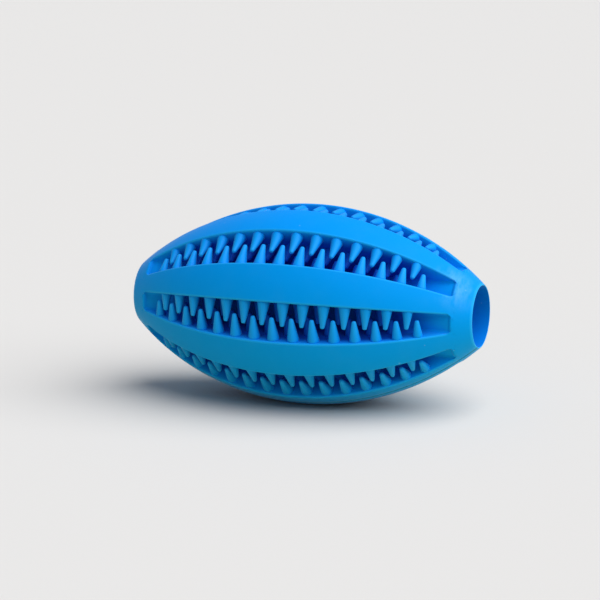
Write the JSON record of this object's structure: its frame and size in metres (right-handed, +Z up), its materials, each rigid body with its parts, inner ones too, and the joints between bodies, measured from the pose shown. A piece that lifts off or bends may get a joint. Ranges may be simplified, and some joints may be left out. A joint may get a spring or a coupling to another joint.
{
  "type": "rubber chew toy",
  "caption": "Hollow rugby-ball-shaped rubber chew toy for dogs, with lengthwise ribs and deep grooves lined with meshing rows of conical cleaning teeth.",
  "frame": {"origin": "on the ground, below the middle of the toy, which lies on the two ribs beside its lowest groove", "axes": "+X along the bore, towards the front collar; +Z up; +Y to the far side"},
  "size_m": [0.11, 0.0604, 0.0604],
  "materials": {
    "blue_rubber": "matte moulded natural rubber, coloured through"
  },
  "bodies": {
    "root": {"core_tube": "blue_rubber", "front_collar": "blue_rubber", "rear_collar": "blue_rubber", "rib_1": "blue_rubber", "rib_2": "blue_rubber", "rib_3": "blue_rubber", "rib_4": "blue_rubber", "rib_5": "blue_rubber", "rib_6": "blue_rubber", "rib_7": "blue_rubber", "rib_8": "blue_rubber", "long_teeth_1": "blue_rubber", "long_teeth_2": "blue_rubber", "long_teeth_3": "blue_rubber", "long_teeth_4": "blue_rubber", "long_teeth_5": "blue_rubber", "long_teeth_6": "blue_rubber", "long_teeth_7": "blue_rubber", "long_teeth_8": "blue_rubber", "short_teeth_1": "blue_rubber", "short_teeth_2": "blue_rubber", "short_teeth_3": "blue_rubber", "short_teeth_4": "blue_rubber", "short_teeth_5": "blue_rubber", "short_teeth_6": "blue_rubber", "short_teeth_7": "blue_rubber", "short_teeth_8": "blue_rubber", "inner_long_teeth_1": "blue_rubber", "inner_long_teeth_2": "blue_rubber", "inner_long_teeth_3": "blue_rubber", "inner_long_teeth_4": "blue_rubber", "inner_long_teeth_5": "blue_rubber", "inner_long_teeth_6": "blue_rubber", "inner_long_teeth_7": "blue_rubber", "inner_long_teeth_8": "blue_rubber", "inner_short_teeth_1": "blue_rubber", "inner_short_teeth_2": "blue_rubber", "inner_short_teeth_3": "blue_rubber", "inner_short_teeth_4": "blue_rubber", "inner_short_teeth_5": "blue_rubber", "inner_short_teeth_6": "blue_rubber", "inner_short_teeth_7": "blue_rubber", "inner_short_teeth_8": "blue_rubber"}
  },
  "joints": []
}
